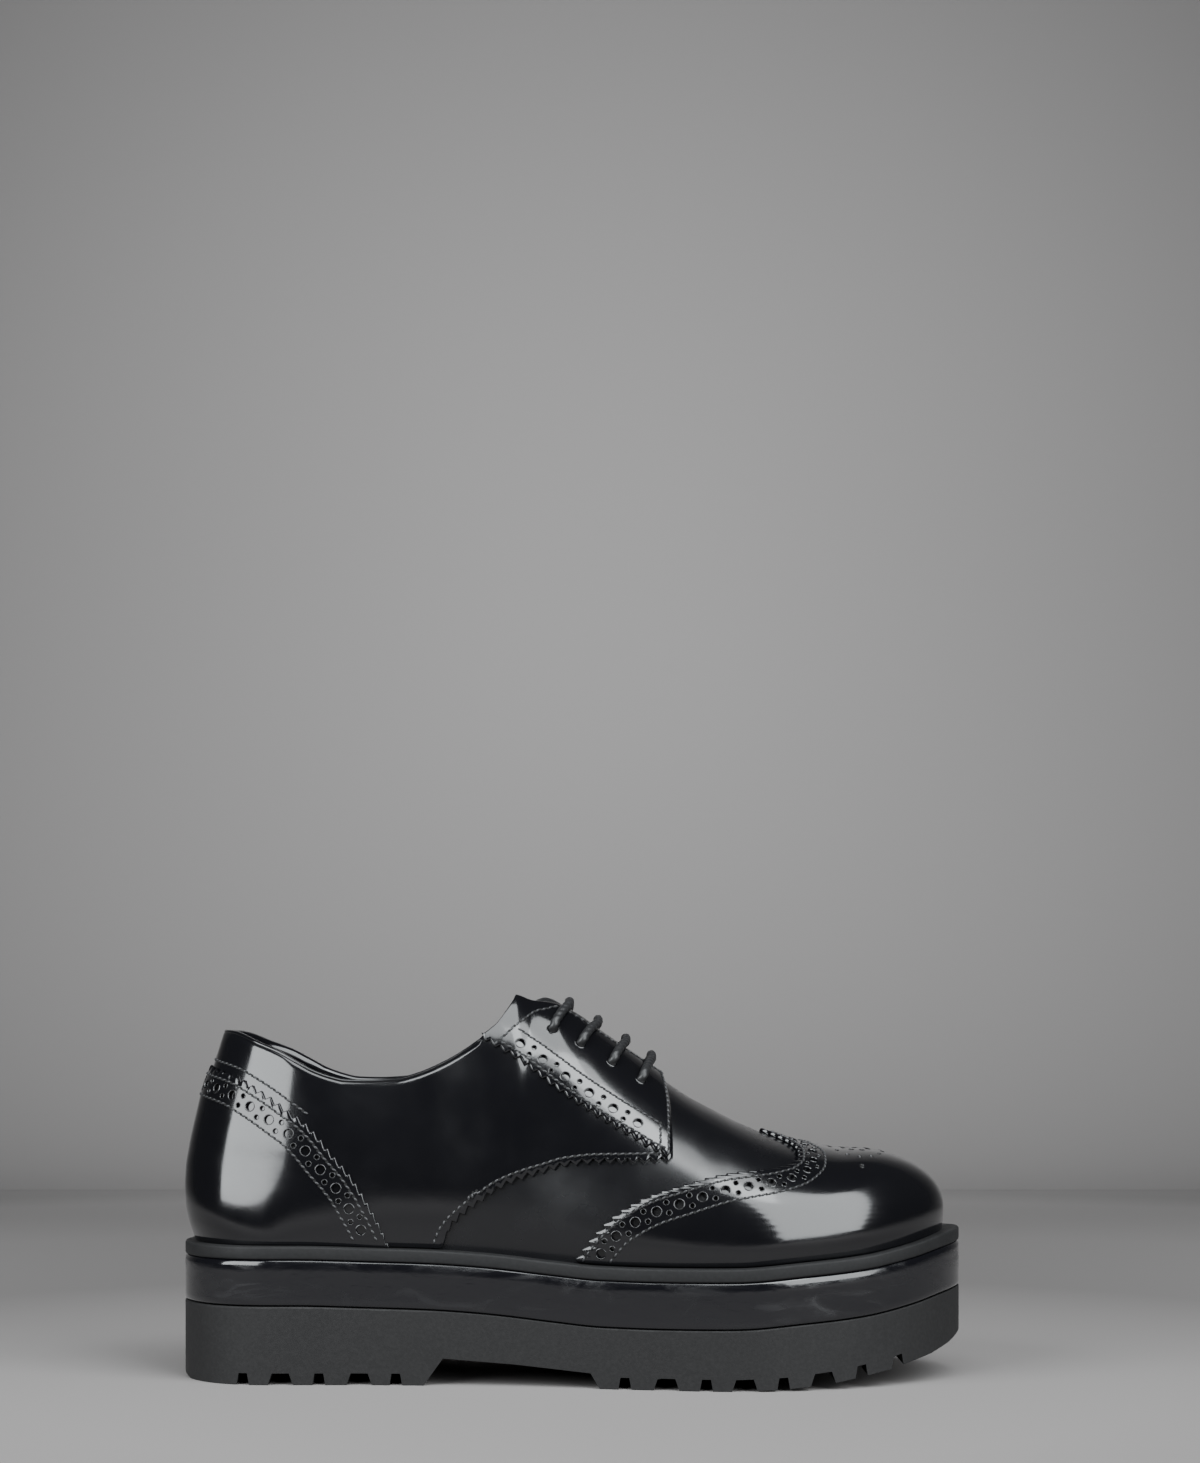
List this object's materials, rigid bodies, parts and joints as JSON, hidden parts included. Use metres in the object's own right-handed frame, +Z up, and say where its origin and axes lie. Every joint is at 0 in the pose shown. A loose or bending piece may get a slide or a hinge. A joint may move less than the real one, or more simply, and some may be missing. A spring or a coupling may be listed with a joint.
{
  "type": "brogue shoe",
  "caption": "Right derby brogue with wing cap, winged heel counter, punched facings, round laces and a thick platform sole with transverse lugs.",
  "frame": {"origin": "on the floor under the middle of the shoe's bounding box", "axes": "+X towards the toe, +Y towards the inner side of the foot (right shoe), +Z up"},
  "size_m": [0.2661, 0.1024, 0.1295],
  "materials": {
    "black_gloss_leather": "gloss",
    "platform_wrap": "gloss",
    "welt_strip": "matte",
    "outsole_rubber": "matte",
    "insole_board": "satin",
    "tongue_leather": "satin",
    "waxed_lace": "satin"
  },
  "bodies": {
    "root": {"outsole": "outsole_rubber", "midsole": "platform_wrap", "welt": "welt_strip", "insole": "insole_board", "upper": "black_gloss_leather", "tongue": "tongue_leather", "quarter_lateral": "black_gloss_leather", "quarter_medial": "black_gloss_leather", "eyestay_lateral": "black_gloss_leather", "eyestay_medial": "black_gloss_leather", "heel_counter": "black_gloss_leather", "toe_cap": "black_gloss_leather", "lace_1": "waxed_lace", "lace_2": "waxed_lace", "lace_3": "waxed_lace", "lace_4": "waxed_lace"}
  },
  "joints": []
}
